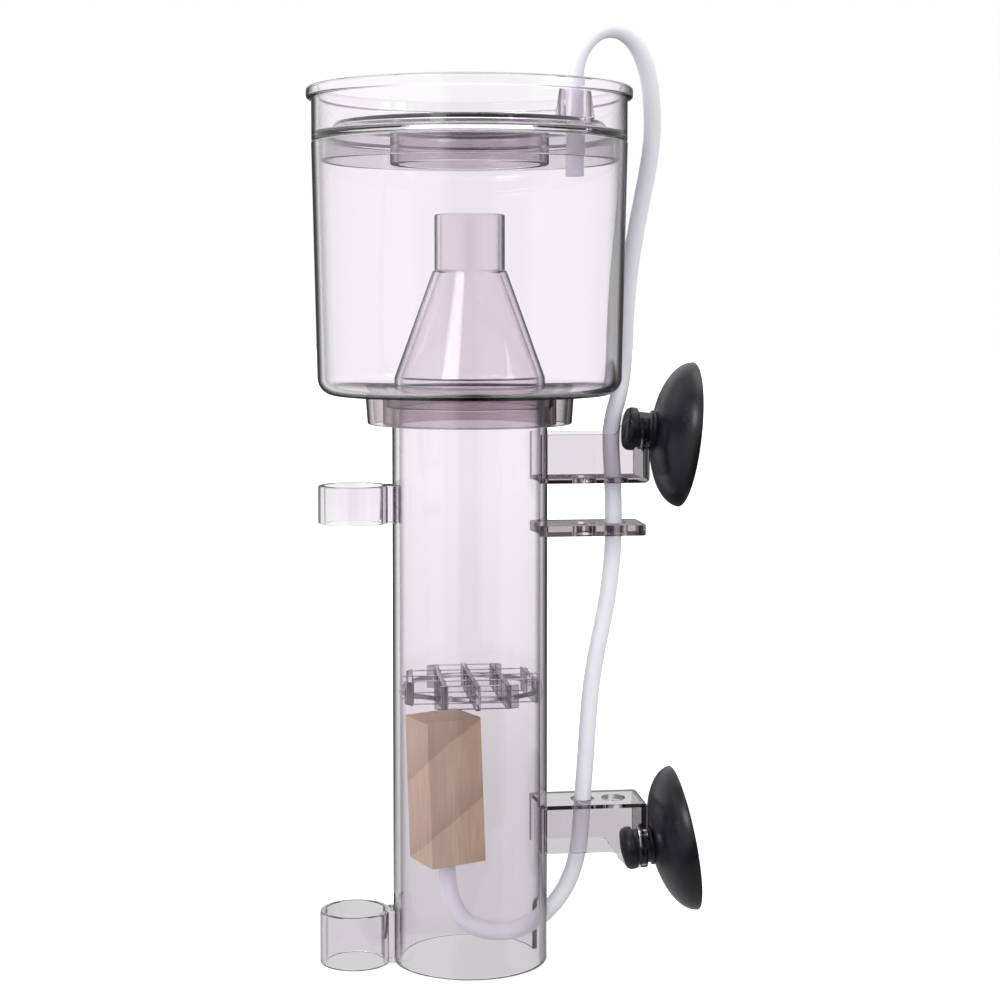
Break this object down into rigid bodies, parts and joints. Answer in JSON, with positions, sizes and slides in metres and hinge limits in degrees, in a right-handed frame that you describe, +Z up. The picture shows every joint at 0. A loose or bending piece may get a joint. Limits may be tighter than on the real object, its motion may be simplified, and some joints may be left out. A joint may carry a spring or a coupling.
{
  "type": "protein skimmer",
  "caption": "Air-driven protein skimmer: clear contact column on its foot, lift-off collection cup with foam cone, dish-shaped lid, airline with wooden diffuser, suction-cup arms and pipe rings.",
  "frame": {"origin": "centre of the contact column's open foot, on the plane that it stands on", "axes": "+Z up along the column, +X towards the suction-cup arms, -X towards the pipe rings, +Y away from the side that carries the lid's vent"},
  "size_m": [0.1369, 0.1124, 0.3264],
  "materials": {
    "clear_acrylic": "polished, faintly smoked clear acrylic",
    "black_rubber": "smooth satin moulded rubber",
    "airline_silicone": "translucent white silicone",
    "diffuser_wood": "bare planed pale limewood",
    "nipple_plastic": "satin moulded plastic"
  },
  "bodies": {
    "column": {"column_tube": "clear_acrylic", "upper_pipe_ring": "clear_acrylic", "lower_pipe_ring": "clear_acrylic", "upper_bracket": "clear_acrylic", "middle_arm": "clear_acrylic", "lower_bracket": "clear_acrylic", "bubble_grid": "clear_acrylic", "wooden_diffuser": "diffuser_wood", "diffuser_nipple": "nipple_plastic", "airline_hose_lower": "airline_silicone"},
    "cup": {"cup_shell": "clear_acrylic", "foam_cone": "clear_acrylic", "foam_neck": "clear_acrylic", "socket_sleeve": "clear_acrylic", "socket_skirt": "clear_acrylic", "airline_hose_upper": "airline_silicone"},
    "lid": {"lid_shell": "clear_acrylic", "splash_collar": "clear_acrylic", "vent_cone": "clear_acrylic"},
    "upper_sucker": {"upper_suction_cup": "black_rubber"},
    "lower_sucker": {"lower_suction_cup": "black_rubber"}
  },
  "joints": [
    {"name": "cup_lift", "type": "slide", "parent": "column", "child": "cup", "axis": [0, 0, 1], "range_m": [0, 0.02]},
    {"name": "lid_lift", "type": "slide", "parent": "cup", "child": "lid", "axis": [0, 0, 1], "range_m": [0, 0.008]},
    {"name": "upper_sucker_spin", "type": "hinge", "parent": "column", "child": "upper_sucker", "pos_m": [0.0606, 0, 0.1858], "axis": [0.9936, 0, -0.1132], "continuous": true},
    {"name": "lower_sucker_spin", "type": "hinge", "parent": "column", "child": "lower_sucker", "pos_m": [0.0606, 0, 0.0376], "axis": [0.9869, 0, 0.1616], "continuous": true}
  ]
}
